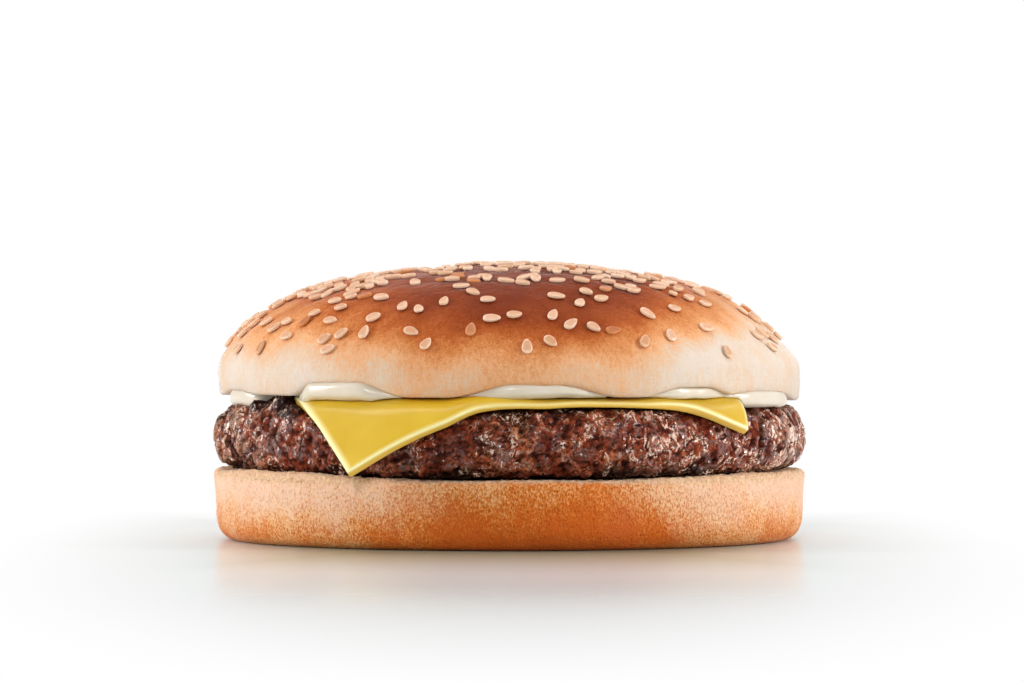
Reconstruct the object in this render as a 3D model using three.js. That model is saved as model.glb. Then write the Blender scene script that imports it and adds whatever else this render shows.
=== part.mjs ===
// A cheeseburger in millimetres: a seeded bun cut in two, with a beef patty, a draped
// slice of cheese and a spread of mayonnaise between the halves.
// +Z is up and the front is towards -Y. The origin is on the surface that the burger stands
// on, under the middle of the whole, corners of cheese included.
// A bearing is an angle about the bun's axis, in degrees: 0 at the front, 90 at +X.
import * as THREE from "three";

const { clamp, degToRad, lerp, radToDeg, smoothstep } = THREE.MathUtils;

// Driving sizes. Heights are above the surface that the burger stands on.
const AXIS_BACK = 1.5; // how far behind the origin the bun's axis stands
const GAP = 0.3; // between pieces that rest on each other
const FRONT_SAG = 0.5; // how much lower the heel's cut face and the filling lie at the front

const HEEL = {
  radius: 54.9,
  height: 13.0,
  waist: 54.6, // radius where the rounded foot meets the wall
  footRadius: 50.4, // of the flat that it stands on
  footRise: 6.0,
  footPower: 2.6, // 2 is a round edge, more is squarer
  rimRound: 1.2,
  segments: 60,
};

const PATTY = {
  radius: 55.1,
  thickness: 11.9,
  edgeRound: 5.8,
  edgePower: 2.1,
  segments: 78,
};

const SLICE = {
  side: 76.0,
  thickness: 1.8,
  turn: 16.3, // bearing that its front edge faces
  frontEdge: 50.6, // flat distance of its front edge from the axis
  leftCorner: 45.9, // along that edge, from its point nearest the axis to the left corner
  bendRadius: 6.8, // where it folds over the patty's shoulder
  overhang: 0.6, // how far past the patty's flat top it starts to bend
  hangAngle: 50, // how steeply its corners hang, in degrees below the horizontal
  cells: 20, // along each side
};

const CROWN = {
  radius: 54.1,
  top: 51.0,
  widest: 30.6, // height of its widest ring
  under: 29.3, // height of the cut face
  lipRound: 0.8,
  lipTuck: 0.4, // how far the lip's tip lies inside the widest ring
  domePower: 2.15,
  lipInner: 46.0, // the crust's lip hangs down outside this radius
  lipOuter: 50.5,
  lipHeight: 27.6,
  lipDrop: 1.6, // how much lower it hangs where no cheese holds it up
};

const MAYO = {
  innerRadius: 45.3, // where nothing is squeezed out
  outerRadius: 54.9, // at a full squeeze
  settleInner: 43.0, // it thickens outside this radius where it lies on bare meat
};

// The bearings at which no cheese reaches the lip, from the right round the back: the middle
// of them, half of their span, and the part of that over which the lip sinks.
const BARE = { middle: 155, half: 100, ramp: 30 };

// Where the mayonnaise is squeezed out past the crown's lip. Each lobe has a bearing, a half
// width in degrees, a share of the full squeeze and a share of the way that it lifts the lip.
const LOBES = [
  [-33, 14, 1.0, 1.0],
  [5, 17, 0.9, 0.9],
  [38, 12, 0.6, 0.7],
  [62, 18, 0.9, 0.3],
  [121, 14, 0.8, 0.4],
  [168, 17, 1.0, 0.6],
  [-139, 15, 0.8, 0.5],
  [-69, 10, 0.7, 0.3],
];

// Segments round the crown and the mayonnaise, alike so that their facets match.
const RIM_SEGMENTS = 74;

// Rings of the mayonnaise's faces, as shares of its reach from the axis.
const FLAT_SHARES = [0.45, 0.74, 0.84];
const ROUND_SHARE = 0.07; // the outer share of the reach that its rounded edge takes up

// The patty's uneven outline: [waves round it, height in mm, phase in degrees].
const OUTLINE = [
  [2, 0.3, 20],
  [3, 0.25, 75],
  [5, 0.3, 200],
  [8, 0.22, 310],
  [13, 0.16, 40],
];

const OUTLINE_ON_TOP = 0.65; // share of it that reaches the rim of the patty's flat top

const PATTY_BASE = HEEL.height + GAP;
const PATTY_TOP = PATTY_BASE + PATTY.thickness;
const SLICE_BASE = PATTY_TOP + GAP;

/** How much the layers drop at y, from nothing at the middle to FRONT_SAG at the front. */
const sag = (y) => FRONT_SAG * smoothstep(-y, 0, HEEL.radius);

/** The shortest way round from one bearing to another, in degrees. */
const turnBetween = (from, to) => ((((to - from) % 360) + 540) % 360) - 180;

/** 1 where the lip lies bare of cheese, 0 where the slice is under it. */
function bare(bearing) {
  const away = Math.abs(turnBetween(BARE.middle, bearing));
  return smoothstep(BARE.half - away, 0, BARE.ramp);
}

/** The greatest, at a bearing, of one column of the lobes, each fading out from its middle. */
function atLobes(column, bearing) {
  const shares = LOBES.map((lobe) => {
    const away = Math.abs(turnBetween(lobe[0], bearing)) / lobe[1];
    return lobe[column] * smoothstep(1 - away, 0, 0.75);
  });
  return Math.max(...shares);
}

/** The mayonnaise's share of its full squeeze at a bearing, from 0 to 1. */
const squeeze = (bearing) => atLobes(2, bearing);

/** How far the mayonnaise lifts the crown's lip at a bearing, from 0 to 1. */
const lift = (bearing) => atLobes(3, bearing);

/** How far the patty's uneven outline lies outside its mean radius at a bearing. */
function outline(bearing) {
  return OUTLINE.reduce(
    (sum, [waves, height, phase]) =>
      sum + height * Math.sin(degToRad(waves * bearing + phase)),
    0,
  );
}

/** Points of a superellipse's edge about [r, z], between two angles: 0 is outwards, 90 up. */
function edge(r, z, width, height, power, from, to, steps) {
  const shaped = (v) => Math.sign(v) * Math.abs(v) ** (2 / power);
  return Array.from({ length: steps + 1 }, (_, i) => {
    const a = degToRad(lerp(from, to, i / steps));
    return new THREE.Vector2(
      r + width * shaped(Math.cos(a)),
      z + height * shaped(Math.sin(a)),
    );
  });
}

const point = (r, z) => new THREE.Vector2(r, z);

/**
 * A closed solid turned from a profile that runs from the axis at the bottom to the axis at
 * the top. shape(r, z, bearing) gives each point's own radius and height.
 */
function turned(profile, segments, shape) {
  profile.at(-1).x = 0; // exactly, which the end of a superellipse isn't
  const geometry = new THREE.LatheGeometry(profile, segments).rotateX(Math.PI / 2);
  const place = geometry.getAttribute("position");
  for (let i = 0; i < place.count; i++) {
    const r = Math.hypot(place.getX(i), place.getY(i));
    const angle = r < 1e-6 ? 0 : Math.atan2(place.getX(i), -place.getY(i));
    const [newR, newZ] = shape(r, place.getZ(i), radToDeg(angle));
    place.setXYZ(i, newR * Math.sin(angle), -newR * Math.cos(angle), newZ);
  }
  return geometry;
}

/** How much the layers drop at a radius and a bearing. */
const sagAt = (r, bearing) => sag(-r * Math.cos(degToRad(bearing)));

function heelGeometry() {
  const { radius, height, waist, footRadius, footRise, footPower, rimRound } = HEEL;
  const profile = [
    point(0, 0),
    ...edge(footRadius, footRise, waist - footRadius, footRise, footPower, -90, 0, 6),
    ...edge(radius - rimRound, height - rimRound, rimRound, rimRound, 2, 0, 90, 3),
    point(radius / 2, height),
    point(0, height),
  ];
  return turned(profile, HEEL.segments, (r, z, bearing) => [
    r,
    z - (sagAt(r, bearing) * z) / height,
  ]);
}

function pattyGeometry() {
  const { radius, thickness, edgeRound, edgePower } = PATTY;
  const flat = radius - edgeRound;
  const middle = PATTY_BASE + thickness / 2;
  const profile = [
    point(0, PATTY_BASE),
    point(flat / 2, PATTY_BASE),
    ...edge(flat, middle, edgeRound, thickness / 2, edgePower, -90, 90, 10),
    point(flat / 2, PATTY_TOP),
    point(0, PATTY_TOP),
  ];
  return turned(profile, PATTY.segments, (r, z, bearing) => [
    r + outline(bearing) * (r / radius) ** 4,
    z - sagAt(r, bearing),
  ]);
}

/**
 * The radius and height of the draped slice at a flat distance from the axis, and at a
 * height above its underside. It lies flat on the patty and bends over its shoulder, then
 * hangs straight.
 */
function drape(distance, raised, bearing) {
  const { bendRadius, hangAngle, overhang } = SLICE;
  const flat = PATTY.radius - PATTY.edgeRound;
  const shoulder = flat + overhang + outline(bearing) * OUTLINE_ON_TOP;
  const past = Math.max(0, distance - shoulder);
  const angle = Math.min(past / bendRadius, degToRad(hangAngle));
  const straight = past - angle * bendRadius;
  const bent = bendRadius + raised;
  return [
    Math.min(distance, shoulder) + bent * Math.sin(angle) + straight * Math.cos(angle),
    SLICE_BASE - bendRadius + bent * Math.cos(angle) - straight * Math.sin(angle),
  ];
}

function sliceGeometry() {
  const { side, thickness, turn, frontEdge, leftCorner, cells } = SLICE;
  const sheet = new THREE.BoxGeometry(side, side, thickness, cells, cells, 1);
  sheet.translate(side / 2 - leftCorner, side / 2 - frontEdge, 0);
  sheet.rotateZ(degToRad(turn));
  const place = sheet.getAttribute("position");
  for (let i = 0; i < place.count; i++) {
    const [x, y] = [place.getX(i), place.getY(i)];
    const angle = Math.atan2(x, -y);
    const raised = place.getZ(i) + thickness / 2;
    const [r, z] = drape(Math.hypot(x, y), raised, radToDeg(angle));
    const [newX, newY] = [r * Math.sin(angle), -r * Math.cos(angle)];
    place.setXYZ(i, newX, newY, z - sag(newY));
  }
  return sheet;
}

/** The height of the crown's underside: its flat cut face, then the lip that hangs below. */
function crownUnder(r, bearing) {
  const { under, lipInner, lipOuter, lipHeight, lipDrop } = CROWN;
  const lip = lipHeight - lipDrop * bare(bearing) - sagAt(r, bearing);
  const lifted = lerp(lip, under, lift(bearing));
  return lerp(under, lifted, clamp((r - lipInner) / (lipOuter - lipInner), 0, 1));
}

function crownGeometry() {
  const { radius, top, widest, under, domePower, lipInner, lipOuter } = CROWN;
  const { lipRound, lipTuck } = CROWN;
  const lipCentre = radius - lipTuck - lipRound;
  const profile = [
    point(0, under),
    point(lipInner / 2, under),
    point(lipInner, under),
    point((lipInner + lipOuter) / 2, under),
    point(lipOuter, under),
    ...edge(lipCentre, under + lipRound, lipRound, lipRound, 2, -90, 0, 2),
    ...edge(0, widest, radius, top - widest, domePower, 0, 90, 11),
  ];
  return turned(profile, RIM_SEGMENTS, (r, z, bearing) => {
    const hang = under - crownUnder(r, bearing);
    return [r, z - hang * smoothstep(widest - z, 0, widest - under)];
  });
}

function mayoGeometry() {
  const { innerRadius, outerRadius, settleInner } = MAYO;
  const profile = [
    point(0, -1),
    ...FLAT_SHARES.map((share) => point(share, -1)),
    ...edge(1 - ROUND_SHARE, 0, ROUND_SHARE, 1, 2, -90, 90, 6), // from its underside to its top
    ...FLAT_SHARES.toReversed().map((share) => point(share, 1)),
    point(0, 1),
  ];
  return turned(profile, RIM_SEGMENTS, (share, side, bearing) => {
    const reach = lerp(innerRadius, outerRadius, squeeze(bearing) ** 1.5);
    const r = share * reach;
    const settled = bare(bearing) * smoothstep(r, settleInner, innerRadius);
    const raised = SLICE.thickness * (1 - settled);
    const bottom = drape(r, raised, bearing)[1] + GAP - sagAt(r, bearing);
    const top = crownUnder(r, bearing) - GAP;
    return [r, lerp(bottom, top, (side + 1) / 2)];
  });
}

const MATERIALS = {
  bun_bottom: { color: 0xc9803f, roughness: 0.75 },
  patty: { color: 0x5b3023, roughness: 0.4 },
  cheese_slice: { color: 0xe8bf3c, roughness: 0.35 },
  mayonnaise: { color: 0xf0e6d2, roughness: 0.25 },
  bun_top: { color: 0xb9672f, roughness: 0.55 },
};

const SHAPES = {
  bun_bottom: heelGeometry,
  patty: pattyGeometry,
  cheese_slice: sliceGeometry,
  mayonnaise: mayoGeometry,
  bun_top: crownGeometry,
};

const burger = new THREE.Group();
burger.position.y = AXIS_BACK;
for (const [name, geometry] of Object.entries(SHAPES)) {
  const material = new THREE.MeshStandardMaterial({ ...MATERIALS[name], metalness: 0 });
  const mesh = new THREE.Mesh(geometry(), material);
  mesh.name = name;
  burger.add(mesh);
}

export default burger;
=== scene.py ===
# A cheeseburger: the looks of its crusts, meat, cheese and sauce, and its sesame seeds.
# Sizes are in millimetres, and become metres where they are given to Blender. The lamps, the
# floor's size, the camera's clipping and the subsurface scales are in metres. +Z is up and the
# front is towards -Y. A bearing is an angle about the bun's axis, in degrees: 0 at the front,
# 90 at +X. r is the distance from that axis.
import itertools
import math

import bmesh
import bpy
import numpy as np
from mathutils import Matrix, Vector


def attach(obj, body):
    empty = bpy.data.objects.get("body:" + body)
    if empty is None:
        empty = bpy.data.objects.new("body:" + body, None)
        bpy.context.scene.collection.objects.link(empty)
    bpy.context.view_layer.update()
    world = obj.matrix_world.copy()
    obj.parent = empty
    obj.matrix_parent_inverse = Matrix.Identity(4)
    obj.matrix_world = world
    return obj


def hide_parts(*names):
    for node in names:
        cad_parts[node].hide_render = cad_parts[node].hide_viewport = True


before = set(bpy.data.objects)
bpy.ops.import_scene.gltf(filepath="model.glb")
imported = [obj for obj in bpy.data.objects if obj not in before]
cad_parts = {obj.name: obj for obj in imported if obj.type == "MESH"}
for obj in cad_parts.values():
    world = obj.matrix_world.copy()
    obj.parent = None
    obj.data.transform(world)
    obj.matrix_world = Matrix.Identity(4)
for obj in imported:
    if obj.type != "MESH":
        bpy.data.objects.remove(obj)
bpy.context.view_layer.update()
MM = 0.001

# The driving sizes of the solids.
AXIS_BACK = 1.5  # how far behind the origin the bun's axis stands
GAP = 0.3  # between pieces that rest on each other
FRONT_SAG = 0.5  # how much lower the heel's cut face and the filling lie at the front
HEEL_RADIUS, HEEL_HEIGHT = 54.9, 13.0
HEEL_WAIST = 54.6  # radius where the rounded foot meets the wall
HEEL_FOOT, HEEL_FOOT_RISE, HEEL_FOOT_POWER = 50.4, 6.0, 2.6  # power 2 is round, more squarer
HEEL_RIM_ROUND = 1.2
PATTY_RADIUS, PATTY_THICKNESS, PATTY_EDGE = 55.1, 11.9, 5.8
PATTY_BASE = HEEL_HEIGHT + GAP
PATTY_TOP = PATTY_BASE + PATTY_THICKNESS
OUTLINE = [  # the patty's uneven outline: waves round it, height, phase in degrees
    (2, 0.3, 20), (3, 0.25, 75), (5, 0.3, 200), (8, 0.22, 310), (13, 0.16, 40),
]
OUTLINE_ON_TOP = 0.65  # share of it that reaches the rim of the patty's flat top
SLICE_BASE = PATTY_TOP + GAP
SLICE_SIDE, SLICE_THICKNESS = 76.0, 1.8
SLICE_TURN = 16.3  # bearing that its front edge faces
SLICE_FRONT, SLICE_LEFT = 50.6, 45.9  # flat distances from the axis to these edges of it
BEND_RADIUS, BEND_OVERHANG, HANG_ANGLE = 6.8, 0.6, 50.0  # over the patty's shoulder
CROWN_RADIUS = 54.1
CROWN_TOP, CROWN_WIDEST, CROWN_UNDER = 51.0, 30.6, 29.3  # heights
DOME_POWER = 2.15
LIP_INNER, LIP_OUTER, LIP_HEIGHT, LIP_DROP = 46.0, 50.5, 27.6, 1.6
BARE_MIDDLE, BARE_HALF, BARE_RAMP = 155.0, 100.0, 30.0  # bearings with no cheese at the lip
MAYO_INNER = 45.3

# Where the soft, fine meshes leave the solids.
HEEL_CURLS = [(-52, 0.9), (48, 0.5)]  # bearings where the cut rim curls up, and how far
HEEL_CURL_REACH = 32.0  # to each side of those bearings
PATTY_LOWER_POWER, PATTY_UPPER_POWER = 2.5, 2.2
PATTY_WORN, PATTY_SPREAD = 0.55, 0.4  # narrower at the left end and wider at the right
CRACK_BEARING, CRACK_LOW, CRACK_HIGH = 55.0, 15.5, 22.5  # of the split in the patty's wall
HEAP_FROM, HEAP_TO, HEAP_RISE = -76.0, -40.0, 2.6  # bearings of the heap on its rim, height
SLICE_ROUNDING = 0.4
SQUEEZED = 1.8  # how far the crown's weight presses the melted front edge outwards
LIP_ROUND = 0.7
LIP_CLOSER = 0.2  # how much lower the soft lip hangs than the solid's, all round
LEFT_DROP, LEFT_FROM, LEFT_TO = 0.6, -66.0, -86.0  # how much more at the left, and bearings
SLUMP = 0.027  # share of its radius that the dome loses above its widest ring
SLUMP_FROM, SLUMP_SPAN = 2.2, 14.2  # from how far above that ring, and over what height
MAYO_BULGE, MAYO_OUTER = 52.2, 54.5  # reach where a lobe begins, and where its share is 1
MAYO_DEPTH = 3.4  # the most that it reaches down from its top
LOBES = [  # of mayonnaise: bearing, half width, share, lift of the lip, run of its left flank
    (-33.5, 14, 1.2, 1.0, 0.52), (5, 17, 0.9, 0.9, 0.75), (38, 12, 0.6, 0.7, 0.75),
    (62, 18, 0.9, 0.3, 0.6), (121, 14, 0.8, 0.4, 0.75), (168, 17, 1.0, 0.6, 0.75),
    (-139, 15, 0.8, 0.5, 0.75), (-69, 10, 0.7, 0.3, 0.75),
]
LOBE_SHARE, LOBE_LIFT = 2, 3  # their columns
RIGHT_FLANK = 0.75  # run of their right flanks, where a run is a share of the half width

# Seeds at the front, each a reach to the right of the axis, a height, the turn of its length
# from level and how toasted it is.
FRONT_SEEDS = [
    (-49.4, 35.2, 40, 0.2), (-45.0, 35.5, 100, 0.6), (-49.0, 37.9, 50, 0.2), (-44.6, 40.1, 30, 0.2),
    (-42.8, 38.9, 35, 0.3), (-40.4, 40.0, 0, 0.1), (-40.2, 37.5, 5, 0.2), (-37.0, 40.1, 80, 1.0),
    (-35.2, 41.5, 15, 0.2), (-32.1, 40.2, 0, 0.3), (-31.4, 43.6, 10, 0.2), (-30.2, 42.3, 0, 0.4),
    (-32.9, 36.9, 40, 0.3), (-29.8, 37.7, 50, 0.2), (-32.0, 35.1, 20, 0.1), (-25.7, 38.0, 92, 0.2),
    (-24.2, 40.6, 25, 0.2), (-28.4, 44.3, 0, 0.3), (-26.0, 44.5, 20, 1.0), (-22.9, 44.2, 0, 0.1),
    (-19.0, 42.7, 90, 0.2), (-16.2, 42.3, 120, 0.1), (-17.4, 38.4, -15, 0.3), (-14.7, 36.3, 70, 0.2),
    (-11.6, 43.6, 90, 0.2), (-8.6, 46.4, 25, 0.2), (-6.4, 45.2, -40, 0.4), (-6.8, 38.8, 90, 0.9),
    (-3.8, 43.8, -5, 0.2), (-3.1, 40.6, 0, 0.1), (0.9, 41.3, 10, 0.3), (-0.6, 47.5, 0, 0.2),
    (-4.4, 48.4, -15, 0.3), (-10.3, 47.9, -5, 0.2), (2.4, 47.0, -20, 0.3), (8.4, 44.7, -20, 0.2),
    (7.8, 41.4, 65, 0.1), (11.0, 39.7, 40, 0.1), (15.1, 39.2, -50, 0.2), (3.1, 35.8, 90, 0.1),
    (7.3, 36.7, -45, 0.3), (12.7, 43.6, 60, 0.1), (13.8, 45.4, -60, 0.2), (16.6, 44.4, 5, 0.3),
    (8.6, 47.4, 0, 0.2), (16.1, 48.0, 10, 0.2), (17.9, 47.2, -70, 0.3), (20.2, 46.3, -40, 0.2),
    (22.6, 45.7, 0, 0.3), (17.4, 46.0, 15, 0.9), (25.2, 41.6, -60, 0.1), (30.4, 42.7, -10, 0.2),
    (18.7, 38.6, 10, 1.0), (24.1, 36.5, 60, 0.5), (29.2, 37.7, 80, 0.0), (36.4, 39.2, -20, 0.1),
    (36.5, 43.6, -10, 0.2), (39.5, 34.9, 80, 0.2), (46.5, 37.7, -50, 0.1), (48.6, 35.4, -30, 0.1),
    (26.9, 46.4, -40, 0.2), (23.6, 47.3, -5, 0.3),
]
SCATTERED = [  # further seeds: between two heights, between two bearings, and how many
    (47.2, 51.0, -180, 180, 185), (44.3, 47.4, -95, -42, 26), (38.0, 45.0, -112, -72, 14),
    (44.3, 47.2, 42, 95, 6), (33.5, 47.2, -180, 180, 95),
]
SEED_APART = 2.0  # the least distance from a further seed to any other
SEED_LENGTHS, SEED_WIDTHS, SEED_DEPTHS = (2.7, 3.3), (1.6, 1.95), (0.75, 0.95)
SEED_CLEAR, SEED_SUNK = 0.2, 0.15  # the most above its hollow, and how much less at random
TOASTED, TOASTED_SUNK = 0.7, 0.15  # seeds toasted more than this lie that much lower
DIMPLE, DIMPLE_RADIUS = 0.22, 1.5  # depth and radius of the hollow that each seed lies in


# ---------------------------------------------------------------- numbers and noise

def lerp(a, b, t):
    return a + (b - a) * t


def smooth(value, low, high):
    """0 below low, 1 above high and a soft step between."""
    t = np.clip((value - low) / (high - low), 0, 1)
    return t * t * (3 - 2 * t)


def turn_between(start, end):
    """The shortest way round from one bearing to another, in degrees."""
    return (end - start + 540) % 360 - 180


def lattice(cell, seed):
    """A fixed random number from 0 to 1 for each whole-numbered cell."""
    c = cell.astype(np.uint32)
    h = c[..., 0] * np.uint32(374761393) + c[..., 1] * np.uint32(668265263)
    h = h + c[..., 2] * np.uint32(2246822519) + np.uint32(seed * 40503 + 977)
    for shift, factor in ((15, 2246822519), (13, 3266489917)):
        h = (h ^ (h >> np.uint32(shift))) * np.uint32(factor)
    return (h ^ (h >> np.uint32(16))) / 2.0**32


def lattice_point(cell, seed):
    return np.stack([lattice(cell, seed * 3 + k) for k in range(3)], -1)


def noise(p, size, seed):
    """Smooth noise, mostly within -1 to 1, whose lumps are about size across."""
    q = p / size
    base = np.floor(q).astype(np.int64)
    f = q - base
    fade = f * f * f * (f * (f * 6 - 15) + 10)
    total = 0
    for corner in itertools.product((0, 1), repeat=3):
        corner = np.array(corner)
        slope = lattice_point(base + corner, seed) * 2 - 1
        share = np.prod(np.where(corner == 1, fade, 1 - fade), axis=-1)
        total = total + share * ((f - corner) * slope).sum(-1)
    return total * 1.6


def fractal(p, size, seed, octaves=3):
    """Noise with finer noise added to it, each octave half as wide and half as high."""
    return sum(noise(p, size / 2**k, seed + k) / 2**k for k in range(octaves))


def warped(p, size, amount, seed):
    """The points moved about by noise, so that patterns on them lose their regularity."""
    return p + amount * np.stack([noise(p, size, seed + k) for k in range(3)], -1)


def cells(p, size, seed):
    """The distance to the nearest of scattered points, in sizes, and its random number."""
    q = p / size
    base = np.floor(q).astype(np.int64)
    near = np.full(p.shape[:-1], 9.0)
    own = np.zeros(p.shape[:-1])
    for offset in itertools.product((-1, 0, 1), repeat=3):
        cell = base + np.array(offset)
        centre = cell + lattice_point(cell, seed)
        away = np.linalg.norm(q - centre, axis=-1)
        own = np.where(away < near, lattice(cell, seed + 91), own)
        near = np.minimum(near, away)
    return near, own


# ---------------------------------------------------------------- the layers' own formulas

def sag(y):
    """How much the layers drop at y, from nothing at the middle to FRONT_SAG at the front."""
    return FRONT_SAG * smooth(-y, 0, HEEL_RADIUS)


def sag_at(r, bearing):
    return sag(-r * np.cos(np.radians(bearing)))


def bare(bearing):
    """1 where the crown's lip lies bare of cheese, 0 where the slice is under it."""
    return smooth(BARE_HALF - np.abs(turn_between(BARE_MIDDLE, bearing)), 0, BARE_RAMP)


def at_lobes(column, bearing):
    """The greatest, at a bearing, of one column of the lobes, each fading from its middle."""
    shares = []
    for lobe in LOBES:
        middle, half, left_flank = lobe[0], lobe[1], lobe[4]
        away = turn_between(middle, bearing)
        run = np.where(away < 0, left_flank, RIGHT_FLANK)
        shares.append(lobe[column] * smooth(1 - np.abs(away) / half, 0, run))
    return np.max(shares, axis=0)


def outline(bearing):
    """How far the patty's uneven outline lies outside its mean radius."""
    return sum(h * np.sin(np.radians(waves * bearing + phase)) for waves, h, phase in OUTLINE)


def drape(distance, lift, bearing):
    """Radius and height of the slice at a flat distance from the axis and a height above
    its underside: flat on the patty, bent over its shoulder, then straight."""
    shoulder = PATTY_RADIUS - PATTY_EDGE + BEND_OVERHANG + outline(bearing) * OUTLINE_ON_TOP
    past = np.maximum(0, distance - shoulder)
    angle = np.minimum(past / BEND_RADIUS, math.radians(HANG_ANGLE))
    straight = past - angle * BEND_RADIUS
    bent = BEND_RADIUS + lift
    r = np.minimum(distance, shoulder) + bent * np.sin(angle) + straight * np.cos(angle)
    z = SLICE_BASE - BEND_RADIUS + bent * np.cos(angle) - straight * np.sin(angle)
    return r, z


def crown_under(r, bearing):
    """Height of the crown's underside: its flat cut face, then the lip that hangs below."""
    lip = LIP_HEIGHT - LIP_CLOSER - LIP_DROP * bare(bearing) - sag_at(r, bearing)
    lip = lip - LEFT_DROP * smooth(-bearing, -LEFT_FROM, -LEFT_TO) * (1 - bare(bearing))
    lifted = lerp(lip, CROWN_UNDER, at_lobes(LOBE_LIFT, bearing))
    return lerp(CROWN_UNDER, lifted, smooth(r, LIP_INNER, LIP_OUTER))


def beyond_slice(r, bearing):
    """How far a point is outside the slice's left, right and back edges as it lies flat,
    negative inside them, and how far its front edge is from the axis at that bearing."""
    a = np.radians(bearing - SLICE_TURN)
    x, y = r * np.sin(a), -r * np.cos(a)
    beyond = np.max([x - SLICE_SIDE + SLICE_LEFT, -SLICE_LEFT - x,
                     y - SLICE_SIDE + SLICE_FRONT], axis=0)
    return beyond, SLICE_FRONT / np.maximum(np.cos(a), 0.05)


# ---------------------------------------------------------------- building meshes

def edge(r, z, width, height, power, start, end, steps):
    """Points of a superellipse about (r, z) between two angles: 0 is outwards, 90 up."""
    a = np.radians(np.linspace(start, end, steps))
    x, y = np.cos(a), np.sin(a)
    shaped = [np.sign(v) * np.abs(v) ** (2 / power) for v in (x, y)]
    return np.stack([r + width * shaped[0], z + height * shaped[1]], -1)


def line(start, end, steps=40):
    return np.linspace(start, end, steps)


def spaced(parts, fine, coarse, fine_from):
    """One profile from its parts, with points a fine step apart outside the radius
    fine_from and up to a coarse step apart inside it."""
    path = np.concatenate(parts)
    lengths = np.hypot(*np.diff(path, axis=0).T)
    middle = (path[1:, 0] + path[:-1, 0]) / 2
    steps = lerp(coarse, fine, smooth(middle, fine_from - 6, fine_from))
    count = np.concatenate([[0], np.cumsum(lengths / steps)])
    at = np.linspace(0, count[-1], int(count[-1]) + 2)
    return np.stack([np.interp(at, count, path[:, k]) for k in (0, 1)], -1)


def round_axis(r, z, bearing):
    a = np.radians(bearing)
    return np.stack([r * np.sin(a), -r * np.cos(a) + AXIS_BACK, z], -1)


def grid_normals(p):
    around = np.roll(p, -1, axis=1) - np.roll(p, 1, axis=1)
    along = np.gradient(p, axis=0)
    n = np.cross(around, along)
    return n / np.maximum(np.linalg.norm(n, axis=-1, keepdims=True), 1e-9)


def piece_from(name, points, faces, material, nodes, values):
    """One finished piece: a smooth mesh in metres with its values stored on the points."""
    mesh = bpy.data.meshes.new(name)
    mesh.from_pydata((np.asarray(points) * MM).tolist(), [], faces)
    mesh.polygons.foreach_set("use_smooth", [True] * len(mesh.polygons))
    for key, numbers in values.items():
        stored = mesh.attributes.new(key, "FLOAT", "POINT")
        stored.data.foreach_set("value", np.asarray(numbers, np.float32).ravel())
    mesh.materials.append(material)
    piece = bpy.data.objects.new(name, mesh)
    bpy.context.scene.collection.objects.link(piece)
    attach(piece, "root")
    for node in nodes:
        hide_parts(node)


def turned(profile, shape, relief, segments):
    """A closed body turned from a profile that runs from the axis at the bottom to the axis
    at the top. shape gives each point's own r and z, relief how far it stands out along
    its normal, with values to store. Returns points, faces and values."""
    bearings = np.arange(segments) * 360 / segments - 180
    r, z, b = np.broadcast_arrays(profile[1:-1, :1], profile[1:-1, 1:], bearings[None, :])
    r, z = shape(r, z, b)
    p = round_axis(r, z, b)
    height, values = relief(p, r, z, b)
    p = p + grid_normals(p) * height[..., None]
    rings = len(p)
    ends = np.array([p[0].mean(0), p[-1].mean(0)])
    points = np.concatenate([p.reshape(-1, 3), ends])
    i, j = np.meshgrid(np.arange(rings - 1), np.arange(segments), indexing="ij")
    k = (j + 1) % segments
    quads = np.stack([i * segments + j, i * segments + k,
                      (i + 1) * segments + k, (i + 1) * segments + j], -1)
    faces = quads.reshape(-1, 4).tolist()
    low, high = rings * segments, rings * segments + 1
    last = (rings - 1) * segments
    for j in range(segments):
        k = (j + 1) % segments
        faces.append((low, k, j))
        faces.append((high, last + j, last + k))
    stored = {
        key: np.concatenate([v.ravel(), [v[0].mean(), v[-1].mean()]])
        for key, v in values.items()
    }
    return points, faces, stored


# ---------------------------------------------------------------- materials

def srgb(r, g, b):
    """A colour from its 0 to 255 values as seen on a screen."""
    def linear(v):
        v /= 255
        return v / 12.92 if v <= 0.04045 else ((v + 0.055) / 1.055) ** 2.4
    return (linear(r), linear(g), linear(b), 1.0)


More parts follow.
